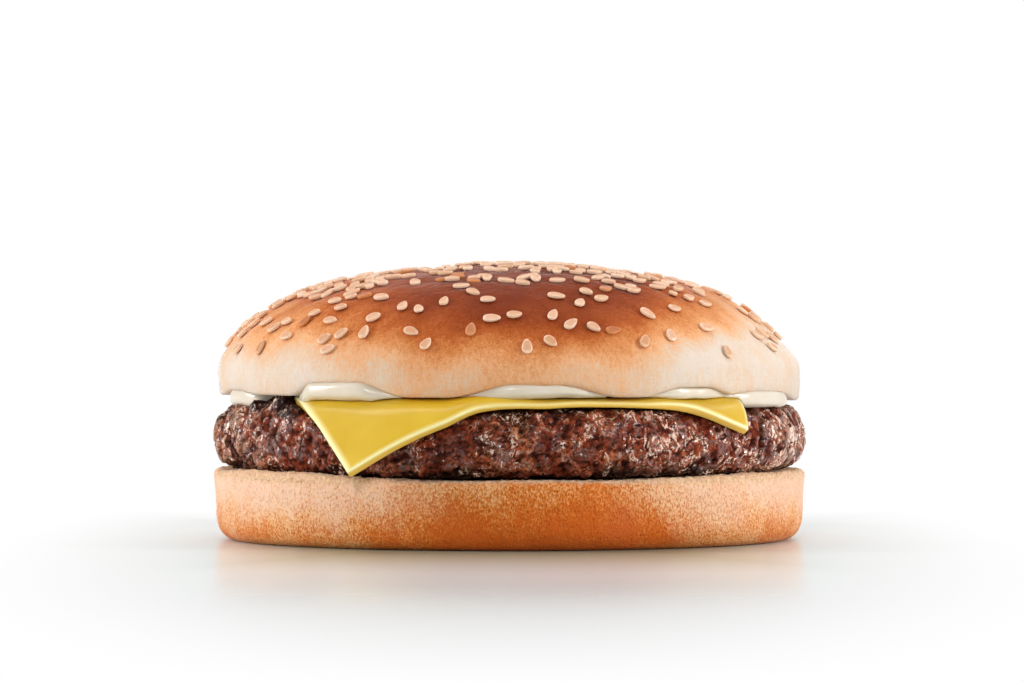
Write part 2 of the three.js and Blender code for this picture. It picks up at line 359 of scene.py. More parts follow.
class Finish:
    """A material whose node tree is built by short calls. Pattern sizes are in mm."""

    def __init__(self, name):
        self.material = bpy.data.materials.new(name)
        self.material.use_nodes = True
        self.tree = self.material.node_tree
        self.shader = self.tree.nodes["Principled BSDF"]
        self.place = self.add("TexCoord").outputs["Object"]

    def put(self, socket, value):
        if isinstance(value, bpy.types.NodeSocket):
            self.tree.links.new(value, socket)
        else:
            socket.default_value = value

    def add(self, kind, inputs=None, **settings):
        node = self.tree.nodes.new("ShaderNode" + kind)
        for key, value in settings.items():
            setattr(node, key, value)
        for key, value in (inputs or {}).items():
            self.put(node.inputs[key], value)
        return node

    def set(self, **sockets):
        for key, value in sockets.items():
            self.put(self.shader.inputs[key.replace("_", " ")], value)

    def stored(self, key):
        return self.add("Attribute", attribute_name=key).outputs["Fac"]

    def scaled(self, size, stretch):
        scale = [1 / (MM * size * s) for s in stretch]
        inputs = {"Vector": self.place, "Scale": scale}
        return self.add("Mapping", inputs).outputs["Vector"]

    def noise(self, size, stretch=(1, 1, 1), detail=3.0, rough=0.55, bend=0.0):
        inputs = {"Vector": self.scaled(size, stretch), "Scale": 1.0, "Detail": detail,
                  "Roughness": rough, "Distortion": bend}
        return self.add("TexNoise", inputs).outputs["Fac"]

    def pores(self, size, stretch=(1, 1, 1)):
        inputs = {"Vector": self.scaled(size, stretch), "Scale": 1.0, "Randomness": 1.0}
        return self.add("TexVoronoi", inputs).outputs["Distance"]

    def coordinate(self, axis):
        parts = self.add("SeparateXYZ", {"Vector": self.place})
        return self.math("MULTIPLY", parts.outputs[axis], 1 / MM)

    def math(self, operation, a, b=0.0):
        node = self.add("Math", {0: a, 1: b}, operation=operation)
        return node.outputs[0]

    def distance(self, x, y):
        squares = [self.math("POWER", v, 2.0) for v in (x, y)]
        return self.math("SQRT", self.math("ADD", *squares))

    def step(self, value, low, high, to_low=0.0, to_high=1.0):
        inputs = {"Value": value, "From Min": low, "From Max": high,
                  "To Min": to_low, "To Max": to_high}
        node = self.add("MapRange", inputs, interpolation_type="SMOOTHSTEP")
        return node.outputs["Result"]

    def mix(self, a, b, factor):
        node = self.add("Mix", {"Factor": factor, 6: a, 7: b}, data_type="RGBA")
        return node.outputs[2]

    def ramp(self, value, stops):
        node = self.add("ValToRGB", {"Fac": value})
        elements = node.color_ramp.elements
        while len(elements) < len(stops):
            elements.new(0.5)
        for element, (at, colour) in zip(elements, stops):
            element.position = at
            element.color = colour
        return node.outputs["Color"]

    def bump(self, height, depth, strength=1.0, under=None):
        inputs = {"Height": height, "Distance": depth * MM, "Strength": strength}
        if under is not None:
            inputs["Normal"] = under
        return self.add("Bump", inputs).outputs["Normal"]


def crown_finish():
    f = Finish("crown_crust")
    baked = f.stored("baked")
    mottle = f.noise(7, (1, 1, 1.4), 4)
    streaks = f.noise(1.0, (0.6, 0.6, 2), 3, 0.6)
    speckle = f.noise(0.34, (0.8, 0.8, 1.2), 2, 0.7)
    level = f.math("ADD", baked, f.step(mottle, 0.3, 0.7, -0.06, 0.06))
    level = f.math("ADD", level, f.step(streaks, 0.25, 0.75, -0.05, 0.05))
    level = f.math("ADD", level, f.step(speckle, 0.3, 0.7, -0.055, 0.055))
    colour = f.ramp(level, [
        (0.0, srgb(222, 206, 191)),
        (0.15, srgb(223, 190, 160)),
        (0.3, srgb(230, 169, 121)),
        (0.45, srgb(211, 136, 80)),
        (0.62, srgb(182, 95, 46)),
        (0.8, srgb(148, 67, 29)),
        (1.0, srgb(118, 47, 19)),
    ])
    skin = f.bump(speckle, 0.07, 0.8)
    skin = f.bump(f.noise(1.6, (1, 1, 0.45), 4, 0.6), 0.3, 0.6, skin)
    f.set(Base_Color=colour, Roughness=f.step(baked, 0, 1, 0.62, 0.5), Normal=skin)
    f.set(Subsurface_Weight=0.1, Subsurface_Radius=(1.0, 0.4, 0.15), Subsurface_Scale=0.0012)
    f.set(Specular_IOR_Level=0.02, Sheen_Weight=0.6, Sheen_Roughness=0.15)
    return f.material


def heel_finish():
    f = Finish("heel_crust")
    crumb = f.stored("crumb")
    pale = f.stored("pale")
    side = f.stored("side")
    pit = f.pores(0.5, (0.85, 0.85, 1.3))
    fine = f.noise(0.36, (0.85, 0.85, 1.3), detail=3, rough=0.75)
    blotch = f.noise(9, (1, 1, 1.2), 4)
    low = f.step(f.coordinate("Z"), 0.5, 11.5, 1.0, 0.0)
    level = f.math("ADD", f.math("MULTIPLY", low, 0.34), f.step(blotch, 0.3, 0.7, 0.2, 0.4))
    # Painted shade: the crust is made browner inside the pores that the bump below sinks.
    level = f.math("ADD", level, f.step(pit, 0.15, 0.6, 0.12, -0.05))
    level = f.math("ADD", level, f.step(fine, 0.35, 0.68, -0.2, 0.15))
    # Painted light: the crust is made less browned towards the left and right.
    level = f.math("SUBTRACT", level, f.math("MULTIPLY", side, 0.32))
    level = f.math("ADD", f.math("MULTIPLY", level, 0.85), 0.15)
    crust = f.ramp(level, [
        (0.0, srgb(244, 206, 172)),
        (0.18, srgb(242, 188, 136)),
        (0.38, srgb(222, 130, 56)),
        (0.58, srgb(206, 93, 30)),
        (0.78, srgb(214, 104, 41)),
        (1.0, srgb(214, 104, 46)),
    ])
    # Painted sheen: the sides are whitened towards pink, most on the lighter grains.
    painted_side_sheen = f.math("MULTIPLY", pale, f.step(fine, 0.35, 0.68, 0.65, 0.25))
    crust = f.mix(crust, srgb(242, 200, 180), painted_side_sheen)
    inside = f.ramp(f.noise(0.55, detail=4, rough=0.75), [
        (0.3, srgb(206, 146, 100)),
        (0.6, srgb(242, 206, 170)),
    ])
    colour = f.mix(crust, inside, crumb)
    skin = f.bump(f.step(pit, 0.1, 0.5), 0.14, 0.9)
    skin = f.bump(fine, 0.1, 0.8, skin)
    skin = f.bump(f.noise(0.45, detail=3, rough=0.7), 0.16, f.step(crumb, 0, 1, 0.2, 1.0), skin)
    f.set(Base_Color=colour, Roughness=0.55, Normal=skin, Specular_IOR_Level=0.04)
    f.set(Subsurface_Weight=0.1, Subsurface_Radius=(1.0, 0.4, 0.15), Subsurface_Scale=0.0012)
    f.set(Sheen_Weight=0.1, Sheen_Roughness=0.3)
    return f.material


def meat_finish():
    f = Finish("grilled_meat")
    hollow = f.stored("hollow")
    char = f.stored("char")
    tan = f.stored("tan")
    wet = f.stored("wet")
    greasy = f.stored("greasy")
    patch = f.noise(4.5, detail=5, rough=0.65)
    grain = f.noise(0.7, detail=3, rough=0.65)
    meat = f.ramp(patch, [
        (0.3, srgb(78, 26, 14)),
        (0.45, srgb(130, 50, 29)),
        (0.58, srgb(170, 80, 47)),
        (0.72, srgb(212, 132, 88)),
    ])
    # Painted highlight on the crests.
    meat = f.mix(meat, srgb(200, 146, 112), tan)
    meat = f.mix(meat, srgb(44, 19, 13), f.step(grain, 0.42, 0.64, 0.0, 0.75))
    # Painted shade in the hollows.
    meat = f.mix(meat, srgb(26, 10, 8), f.math("MULTIPLY", hollow, 0.9))
    # Char, and painted shade at the rims.
    meat = f.mix(meat, srgb(24, 11, 8), char)
    # Painted glints: pale pinkish specks in clusters stand in for the wet highlights, thickest at
    # the right and at the left end.
    painted_glint_spot = f.noise(1.1, (1, 1, 1.4), detail=4, rough=0.7, bend=1.2)
    painted_glint_spot = f.step(f.math("ADD", painted_glint_spot, f.math("MULTIPLY", greasy, 0.02)), 0.54, 0.6)
    painted_glint_cluster = f.noise(4.5, detail=2)
    painted_glint_cluster = f.step(f.math("ADD", painted_glint_cluster, f.math("MULTIPLY", greasy, 0.02)), 0.43, 0.55)
    painted_glint = f.math("MULTIPLY", f.math("MULTIPLY", painted_glint_spot, painted_glint_cluster), f.step(wet, 0.5, 1.0, 0.25, 1.0))
    painted_glint = f.math("MULTIPLY", painted_glint, f.step(hollow, 0.3, 0.8, 1.0, 0.0))
    meat = f.mix(meat, srgb(255, 222, 202), f.math("MULTIPLY", painted_glint, 0.9))
    drops = f.step(f.noise(2.4, detail=3, rough=0.6), 0.45, 0.55)
    drops = f.math("MULTIPLY", drops, f.step(hollow, 0.2, 0.7, 1.0, 0.0))
    drops = f.math("MULTIPLY", drops, f.step(char, 0.3, 1.0, 1.0, 0.45))
    skin = f.bump(f.noise(1.7, (1, 1, 1.4), detail=1.5, rough=0.5, bend=1.0), 0.8)
    skin = f.bump(f.noise(0.8, detail=2), 0.2, 1.0, skin)
    rough_skin = f.bump(f.noise(0.5, detail=2, rough=0.6), 0.16, 0.8, skin)
    f.set(Base_Color=meat, Roughness=0.6, Normal=rough_skin, Specular_IOR_Level=0.05)
    f.set(Coat_Weight=f.math("MULTIPLY", wet, drops), Coat_Roughness=0.1, Coat_IOR=1.8)
    f.set(Coat_Normal=skin)
    return f.material


def cheese_finish():
    f = Finish("cheese")
    rim = f.stored("rim")
    cloud = f.noise(12, detail=3)
    face = f.ramp(cloud, [
        (0.3, srgb(214, 171, 14)),
        (0.7, srgb(226, 188, 42)),
    ])
    # Painted light through the edge.
    colour = f.mix(face, srgb(240, 194, 84), f.stored("side"))
    # Painted highlight along the top edge.
    colour = f.mix(colour, srgb(255, 240, 176), rim)
    skin = f.bump(f.noise(5, detail=2), 0.25, 0.25)
    skin = f.bump(f.noise(0.8, detail=2), 0.02, 0.35, skin)
    f.set(Base_Color=colour, Roughness=f.step(cloud, 0.3, 0.7, 0.32, 0.4), Normal=skin)
    f.set(Subsurface_Weight=0.3, Subsurface_Radius=(0.9, 0.85, 0.3), Subsurface_Scale=0.0015)
    f.set(Specular_IOR_Level=0.4, Coat_Weight=0.4, Coat_Roughness=0.15)
    return f.material


def mayonnaise_finish():
    f = Finish("mayonnaise")
    cloud = f.noise(7, detail=3)
    colour = f.ramp(cloud, [
        (0.3, srgb(216, 204, 184)),
        (0.7, srgb(228, 216, 199)),
    ])
    skin = f.bump(f.noise(2.2, detail=2), 0.12, 0.3)
    f.set(Base_Color=colour, Roughness=0.3, Normal=skin, Specular_IOR_Level=0.5)
    f.set(Subsurface_Weight=0.35, Subsurface_Radius=(1.0, 0.85, 0.6), Subsurface_Scale=0.002)
    f.set(Coat_Weight=0.25, Coat_Roughness=0.15)
    return f.material


def sesame_finish():
    f = Finish("sesame")
    rim = f.stored("rim")
    toast = f.stored("toast")
    face = f.ramp(toast, [
        (0.0, srgb(221, 170, 134)),
        (0.5, srgb(206, 146, 104)),
        (1.0, srgb(180, 100, 48)),
    ])
    edge = f.ramp(toast, [
        (0.0, srgb(241, 210, 182)),
        (0.5, srgb(230, 188, 150)),
        (1.0, srgb(208, 134, 78)),
    ])
    # Painted highlight round the outline.
    colour = f.mix(face, edge, rim)
    skin = f.bump(f.noise(0.35, detail=2), 0.03, 0.4)
    f.set(Base_Color=colour, Roughness=0.4, Normal=skin, Specular_IOR_Level=0.3)
    f.set(Subsurface_Weight=0.15, Subsurface_Radius=(1.0, 0.6, 0.35), Subsurface_Scale=0.0006)
    return f.material


# ---------------------------------------------------------------- pieces

def make_heel():
    """The bun's lower half: a baked wall full of fine pores and a fuzzy pale cut rim."""
    foot, rise, rim = HEEL_FOOT, HEEL_FOOT_RISE, HEEL_RIM_ROUND
    profile = spaced([
        line((0, 0), (foot, 0)),
        edge(foot, rise, HEEL_WAIST - foot, rise, HEEL_FOOT_POWER, -90, 0, steps=60),
        edge(HEEL_RADIUS - rim, HEEL_HEIGHT - rim, rim, rim, 2, 0, 90, steps=30),
        line((HEEL_RADIUS - rim, HEEL_HEIGHT), (0, HEEL_HEIGHT)),
    ], fine=0.42, coarse=4.0, fine_from=47.0)

    def shape(r, z, b):
        curled = sum(
            up * smooth(1 - np.abs(b - at) / HEEL_CURL_REACH, 0, 0.8) for at, up in HEEL_CURLS
        )
        z = z + curled * smooth(r, 51.5, 53.5) * smooth(z, 8, HEEL_HEIGHT)
        return r, z - sag_at(r, b) * z / HEEL_HEIGHT

    def relief(p, r, z, b):
        level = z * (1 + sag_at(r, b) / HEEL_HEIGHT)
        fringe = HEEL_HEIGHT - lerp(0.7, 1.5, smooth(np.abs(p[..., 0]), 5, 40))
        crumb = smooth(level + fractal(p, 2.0, 3) * 0.5, fringe, fringe + 0.6)
        wall = smooth(r, 51, 53) * (1 - crumb)
        slow = fractal(p, 26, 5, 2) * 0.45 * smooth(z, 0.5, 4)
        pits, _ = cells(p, 1.6, 7)
        lumps = fractal(p * [1, 1, 0.8], 3.4, 11, 3)
        height = slow + wall * (0.09 * lumps - 0.09 * smooth(0.45 - pits, 0, 0.4))
        height = height + crumb * (0.26 * fractal(p, 0.9, 17, 2) - 0.05)
        # Painted light for the side lamps: side marks the wall's left and right, which the finish
        # makes less browned, and pale whitens them there as a painted sheen.
        side = np.sin(np.radians(b))
        side = smooth(-side, 0.1, 0.6) + smooth(side, 0.25, 0.8)
        pale = side * smooth(level + fractal(p, 7, 19, 2) * 3.5, 2, 10)
        values = {"crumb": crumb, "pale": pale, "side": side + 0 * z}
        return height * smooth(z, 0.0, 0.6), values

    points, faces, values = turned(profile, shape, relief, segments=780)
    piece_from("bun_heel", points, faces, heel_finish(), ["bun_bottom"], values)


def make_patty():
    """Grilled minced beef: a coarse, wet, reddish wall, dark at both rims from char and from painted
    shade.
    """
    flat = PATTY_RADIUS - PATTY_EDGE
    half = PATTY_THICKNESS / 2
    middle = PATTY_BASE + half
    profile = spaced([
        line((0, PATTY_BASE), (flat, PATTY_BASE)),
        edge(flat, middle, PATTY_EDGE, half, PATTY_LOWER_POWER, -90, 0, steps=80),
        edge(flat, middle, PATTY_EDGE, half, PATTY_UPPER_POWER, 0, 90, steps=80),
        line((flat, PATTY_TOP), (0, PATTY_TOP)),
    ], fine=0.34, coarse=4.0, fine_from=46.0)

    def heap(b):
        return smooth(b, HEAP_FROM, HEAP_FROM + 10) * smooth(HEAP_TO - b, 0, 12)

    def shape(r, z, b):
        free = smooth(beyond_slice(r, b)[0], -0.3, 1.2)
        rise = HEAP_RISE * heap(b) * free * smooth(r, 47.5, 50.5)
        rise = rise * smooth(z, middle, PATTY_TOP - 0.6)
        rise = rise * (0.8 + 0.5 * noise(round_axis(r, 0 * z, b), 4.0, 59))
        wider = PATTY_SPREAD * smooth(np.abs(b - 88), 35, 12)
        wider = wider - PATTY_WORN * smooth(np.abs(b + 88), 35, 12)
        return r + (outline(b) + wider) * (r / PATTY_RADIUS) ** 4, z - sag_at(r, b) + rise

    def relief(p, r, z, b):
        slow = fractal(p, 10, 45, 2)
        folds = np.abs(noise(warped(p * [1, 1, 0.4], 4, 0.8, 21), 3.6, 23))
        lumps = np.abs(noise(warped(p, 2.6, 0.9, 25), 2.6, 27))
        small = np.abs(noise(warped(p, 1.1, 0.4, 31), 1.25, 33))
        grain = fractal(p, 0.9, 41, 2)
        near, own = cells(p, 2.4, 35)
        pit = smooth(0.42 - near, 0, 0.3) * (own > 0.55)
        folded = 0.25 + 0.75 * smooth(np.abs(turn_between(-82, b)), 40, 16)
        right_end = smooth(b, 48, 66) * smooth(130 - b, 0, 20)
        bumpy = folded * 2.4 * (folds - 0.32) + (0.9 - 0.6 * right_end) * (lumps - 0.3)
        crack = np.exp(-((b - CRACK_BEARING - 0.8 * noise(p, 2.0, 53)) / 0.5) ** 2)
        crack = crack * smooth(z, CRACK_LOW - 1, CRACK_LOW) * smooth(CRACK_HIGH + 1 - z, 0, 1)
        fine = (0.5 - 0.2 * right_end) * (small - 0.2)
        height = 0.3 * slow + bumpy + fine + 0.1 * grain - 0.45 * pit - 0.9 * crack
        away = np.abs(z + sag_at(r, b) - middle) / half
        upper = 0.08 * smooth(z, middle - 1, middle + 1)
        # Darker towards the top and bottom rims: char, and painted shade where the heel and cheese
        # meet the wall. The patches below are char only.
        char = smooth(away - upper + 0.35 * slow + 0.15 * grain, 0.78, 1.02)
        patches = fractal(p, 7, 55, 3)
        char = np.maximum(0.9 * char, 0.7 * smooth(patches, 0.25, 0.6) * smooth(35 - b, 0, 15))
        # Painted shade: hollow darkens the meat in the valleys of the lumps and folds, in the pits
        # and in the crack.
        deep = smooth(-lumps, -0.1, 0.0) + smooth(-small, -0.08, 0.0) * 0.6 + pit + crack
        deep = deep + smooth(-folds, -0.14, 0.0) * folded
        soaked = smooth(fractal(p, 5, 57, 3) + 0.25 * np.abs(np.sin(np.radians(b))), -0.1, 0.35)
        # Painted highlight: the crests of the folds, and the right end, are made a lighter tan.
        crest = smooth(folds + 0.6 * lumps, 0.25, 0.7) * (folded**2 + 0.6 * right_end)
        soaked = np.maximum(soaked, smooth(b, 18, 34))
        # Where the painted glints gather: towards the right and at the left end.
        greasy = 0.8 * smooth(b, 12, 28) + smooth(b, 45, 60) + smooth(-b, 40, 60)
        greasy = greasy * smooth(150 - np.abs(b), 0, 40)
        values = {"hollow": np.clip(0.9 * deep, 0, 1), "char": char, "tan": 0.8 * crest,
                  "wet": 0.4 + 0.6 * soaked, "greasy": greasy + 0 * z}
        outside = smooth(r, flat - 3, flat + 1)
        return np.minimum(height, lerp(0.25, 0.6, smooth(r, 51, 53))) * outside, values

    points, faces, values = turned(profile, shape, relief, segments=940)
    piece_from("beef_patty", points, faces, meat_finish(), ["patty"], values)


def flat_sheet():
    """The slice before it is laid down: a square sheet about the origin with softly rounded
    edges. Returns its points and faces."""
    half, rounding = SLICE_SIDE / 2, SLICE_ROUNDING
    close = half - rounding * (1 - np.cos(np.radians(np.linspace(90, 0, 5))))[::-1]
    body = np.linspace(-half + rounding, half - rounding, 151)
    across = np.unique(np.concatenate([-close, body, close]).round(5))
    up = SLICE_THICKNESS / 2 * np.sin(np.radians(np.linspace(-90, 90, 9)))
    sheet = bmesh.new()
    axes = [across, across, up]
    for fixed, end in itertools.product(range(3), (0, -1)):
        first, second = [k for k in range(3) if k != fixed]
        rows = []
        for a in axes[first]:
            row = []
            for b in axes[second]:
                at = [0, 0, 0]
                at[fixed], at[first], at[second] = axes[fixed][end], a, b
                row.append(sheet.verts.new(at))
            rows.append(row)
        for i, j in itertools.product(range(len(rows) - 1), range(len(rows[0]) - 1)):
            sheet.faces.new((rows[i][j], rows[i + 1][j], rows[i + 1][j + 1], rows[i][j + 1]))
    bmesh.ops.remove_doubles(sheet, verts=sheet.verts[:], dist=1e-4)
    bmesh.ops.recalc_face_normals(sheet, faces=sheet.faces[:])
    sheet.verts.index_update()
    p = np.array([v.co[:] for v in sheet.verts])
    faces = [[v.index for v in face.verts] for face in sheet.faces]
    sheet.free()
    inner = np.array([half - rounding, half - rounding, SLICE_THICKNESS / 2 - rounding])
    core = np.clip(p, -inner, inner)
    away = p - core
    far = np.linalg.norm(away, axis=-1, keepdims=True)
    return core + np.where(far > 0, away / np.maximum(far, 1e-9) * rounding, 0), faces


def make_cheese():
    """One square slice, laid on the patty and bent over its shoulder."""
    p, faces = flat_sheet()
    half = SLICE_SIDE / 2
    to_edge = half - np.abs(p[:, :2]).max(1)
    to_left = p[:, 0] + half
    near_edge = 1 - np.minimum(smooth(to_edge, 0.2, 0.65), smooth(to_left, 0.5, 1.2))
    # Painted highlight: rim is a pale cream line along the top face's edge.
    rim = smooth(p[:, 2], 0.35, 0.75) * near_edge
    # Painted light: the slice's side faces are made paler, for the light that shines through its
    # edge.
    side = smooth(p[:, 2], 0.7, 0.4) * (1 - smooth(to_edge, 0.0, 0.4))
    along = to_left - SLICE_LEFT
    pressed = smooth(along, -26, -14) * (1 - smooth(along, 8, 20)) * smooth(-p[:, 1], 30, 34)
    rim = rim * (1 - 0.4 * pressed)
    upper = smooth(p[:, 2], -0.6, 0.6)
    melt = lerp(0.12, 0.25, pressed) * (1 - smooth(to_edge, 0.0, lerp(1.0, 2.4, pressed)))
    p[:, 2] -= melt * upper
    p[:, 2] += 0.5 * pressed * (1 - smooth(to_edge, 0.0, 2.5)) * (1 - upper)
    p[:, 1] -= SQUEEZED * pressed * (1 - smooth(to_edge, 0.0, 9.0))
    x = p[:, 0] + half - SLICE_LEFT
    y = p[:, 1] + half - SLICE_FRONT
    turn = math.radians(SLICE_TURN)
    c, s = math.cos(turn), math.sin(turn)
    x, y = x * c - y * s, x * s + y * c
    bearing = np.degrees(np.arctan2(x, -y))
    distance = np.hypot(x, y)
    r, z = drape(distance, p[:, 2] + SLICE_THICKNESS / 2, bearing)
    points = round_axis(r, z, bearing)
    points[:, 2] -= sag(points[:, 1] - AXIS_BACK)
    loose = smooth(distance, 48, 56)
    points[:, 2] += loose * 0.3 * noise(points * [1, 1, 0], 13, 51)
    droop = 0.5 * smooth(distance, 56, 67)
    droop += 0.45 * smooth(along, 15, 28) * smooth(distance, 51, 57)
    raised = smooth(along, -27, -20) * smooth(-along, 7, 18) * smooth(8 - to_edge, 0, 6)
    points[:, 2] += raised * smooth(-p[:, 1], 28, 32) - droop
    piece_from("cheese_sheet", points, faces, cheese_finish(), ["cheese_slice"],
               {"rim": rim, "side": side})


def make_mayonnaise():
    """A spread that fills the space under the crown and bulges out in wet lobes."""
    flat, rounded = 0.95, 0.05  # shares of its reach
    profile = spaced([  # x is the share of its reach, z is -1 below and 1 on top
        line((0, -1), (flat, -1)),
        edge(flat, 0, rounded, 1, 2.4, -90, 0, steps=30),
        edge(flat, 0, rounded, 1, 3.4, 0, 90, steps=60),
        line((flat, 1), (0, 1)),
    ], fine=0.03, coarse=0.06, fine_from=0.8)

    def shape(share, side, b):
        pressed = at_lobes(LOBE_SHARE, b)
        reach = lerp(MAYO_INNER, MAYO_BULGE, smooth(pressed, 0, 0.12))
        reach = lerp(reach, MAYO_OUTER, pressed**1.2)
        r = share * reach
        beyond, front = beyond_slice(r, b)
        settled = smooth(beyond, -0.2, 1.2)
        top = crown_under(r, b) + 0.35 * smooth(r, 46, 50)
        held = np.minimum(r, np.maximum(front - 0.4, 45))
        bottom = drape(held, SLICE_THICKNESS * (1 - settled), b)[1] + 0.02 - sag_at(r, b)
        bottom = np.maximum(bottom, top - MAYO_DEPTH)
        return r, lerp(bottom, top, (side + 1) / 2)

    def relief(p, r, z, b):
        return (0.15 * fractal(p, 9, 61, 2) + 0.1 * noise(p, 3, 65)) * smooth(r, 45, 50), {}

    points, faces, values = turned(profile, shape, relief, segments=600)
    piece_from("mayonnaise_spread", points, faces, mayonnaise_finish(),
               ["mayonnaise"], values)


def crust_height(p):
    """How far the uneven crust stands out from the smooth dome."""
    return 0.5 * fractal(p, 24, 71, 2) + 0.12 * fractal(p * [1, 1, 0.55], 4.5, 75, 3)


def lean(r, z, b):
    """The dome slumps a little above its widest line, and more on the right."""
    side = np.sin(np.radians(b))
    up = np.clip((z - CROWN_WIDEST - SLUMP_FROM) / SLUMP_SPAN, 0, 1)
    slump = SLUMP * np.sin(np.pi * up)
    return r * (1 - slump * (0.3 + 0.65 * np.abs(side) + 0.47 * side)), z


def dome_profile():
    return edge(0, CROWN_WIDEST, CROWN_RADIUS, CROWN_TOP - CROWN_WIDEST, DOME_POWER, 0, 90,
                steps=400)


def dome_point(r, bearing):
    """A point of the crown's dome and its outward normal, both as arrays of rows."""
    def at(r, b):
        share = np.clip(r / CROWN_RADIUS, 0, 0.99999) ** DOME_POWER
        z = CROWN_WIDEST + (CROWN_TOP - CROWN_WIDEST) * (1 - share) ** (1 / DOME_POWER)
        return round_axis(*lean(r, z, b), b)

    p = at(r, bearing)
    outwards = at(r + 0.05, bearing) - p
    onwards = at(r, bearing + 0.1) - p
    n = np.cross(onwards, -outwards)
    n = n / np.linalg.norm(n, axis=-1, keepdims=True)
    return p, n


def seed_places():
    """Where the seeds lie: r, bearing, turn and how toasted. The front ones are listed, the
    others are drawn at random, evenly over each zone and thinner near the dome's foot."""
    rng = np.random.default_rng(7)
    dome = dome_profile()
    run = np.concatenate([[0], np.cumsum(np.hypot(*np.diff(dome, axis=0).T))])
    chosen, spots = [], []

    def spot(r, b, z):
        return [r * math.sin(math.radians(b)), r * math.cos(math.radians(b)), z]

    def place(r, b, z, turn, toast):
        spots.append(spot(r, b, z))
        chosen.append((r, b, turn, toast))

    for x, z, turn, toast in FRONT_SEEDS:
        r = np.interp(z, dome[:, 1], dome[:, 0])
        place(r, math.degrees(math.asin(np.clip(x / r, -0.99, 0.99))), z, turn, toast)
    for low, high, first, last, count in SCATTERED:
        wanted = len(chosen) + count
        while len(chosen) < wanted:
            at = rng.uniform(0, run[-1])
            r, z = np.interp(at, run, dome[:, 0]), np.interp(at, run, dome[:, 1])
            b = rng.uniform(first, last)
            turn = rng.uniform(0, 360)
            own, keep = rng.random(), rng.random()
            in_front = abs(b) < 70 and z < lerp(47.2, 44.3, smooth(abs(b), 30, 50))
            chance = (0.3 + 0.7 * smooth(z, 35, 40)) * r / CROWN_RADIUS
            if in_front or not low < z < high or keep > chance:
                continue
            if np.linalg.norm(np.array(spots) - spot(r, b, z), axis=1).min() < SEED_APART:
                continue
            place(r, b, z, turn, 0.6 * own**2 if own < 0.9 else 1.0)
    return np.array(chosen)


def make_crown(seeds):
    """The bun's upper half: a dome of thin baked skin, dimpled where each seed lies."""
    centre, low = CROWN_RADIUS - LIP_ROUND, CROWN_UNDER + LIP_ROUND
    profile = spaced([
        line((0, CROWN_UNDER), (LIP_OUTER, CROWN_UNDER), 90),
        edge(centre, low, LIP_ROUND, LIP_ROUND, 2, -90, 0, steps=30),
        dome_profile(),
    ], fine=0.5, coarse=0.62, fine_from=47.0)
    rings = np.arange(len(profile))
    hidden = (rings < np.argmax(profile[:, 0])) & (profile[:, 0] <= 43)
    profile = profile[~hidden | (rings % 8 == 0)]  # few rings on the cut face's middle

    def shape(r, z, b):
        hang = CROWN_UNDER - crown_under(r, b)
        z = z - hang * smooth(CROWN_WIDEST - z, 0, CROWN_WIDEST - CROWN_UNDER)
        return lean(r, z, b)

    spots, _ = dome_point(seeds[:, 0], seeds[:, 1])

    def relief(p, r, z, b):
        height = crust_height(p) * smooth(z, 28.5, 31)
        flat = p.reshape(-1, 3)
        dimple = np.zeros(len(flat))
        for spot in spots:
            near = np.flatnonzero((np.abs(flat - spot) < 3.2).all(1))
            away = np.linalg.norm(flat[near] - spot, axis=1)
            dimple[near] += np.exp(-(away / DIMPLE_RADIUS) ** 2)
        dimple = dimple.reshape(height.shape)
        height = height - DIMPLE * np.minimum(dimple, 1.3)
        level = 0.27 + 0.71 * smooth(z + 1.3 * fractal(p, 12, 81, 2), 29.5, 46.0)
        # Less browned towards the left and right: partly uneven baking, partly painted light for the
        # side lamps, most on the right.
        aside = smooth(np.abs(p[..., 0] - 3), 8, 44)
        left = lerp(0.26, 0.43, smooth(z, 36, 44))
        right = lerp(0.56, 0.62, smooth(z, 38, 45))
        baked = level - lerp(left, right, smooth(p[..., 0], -20, 20)) * aside
        # Painted shade: the crust is browned a little more round each seed.
        baked = np.maximum(baked, 0.04) + 0.06 * np.minimum(dimple, 1.0)
        return height, {"baked": baked}

    points, faces, values = turned(profile, shape, relief, segments=720)
    piece_from("bun_crown", points, faces, crown_finish(), ["bun_top"], values)


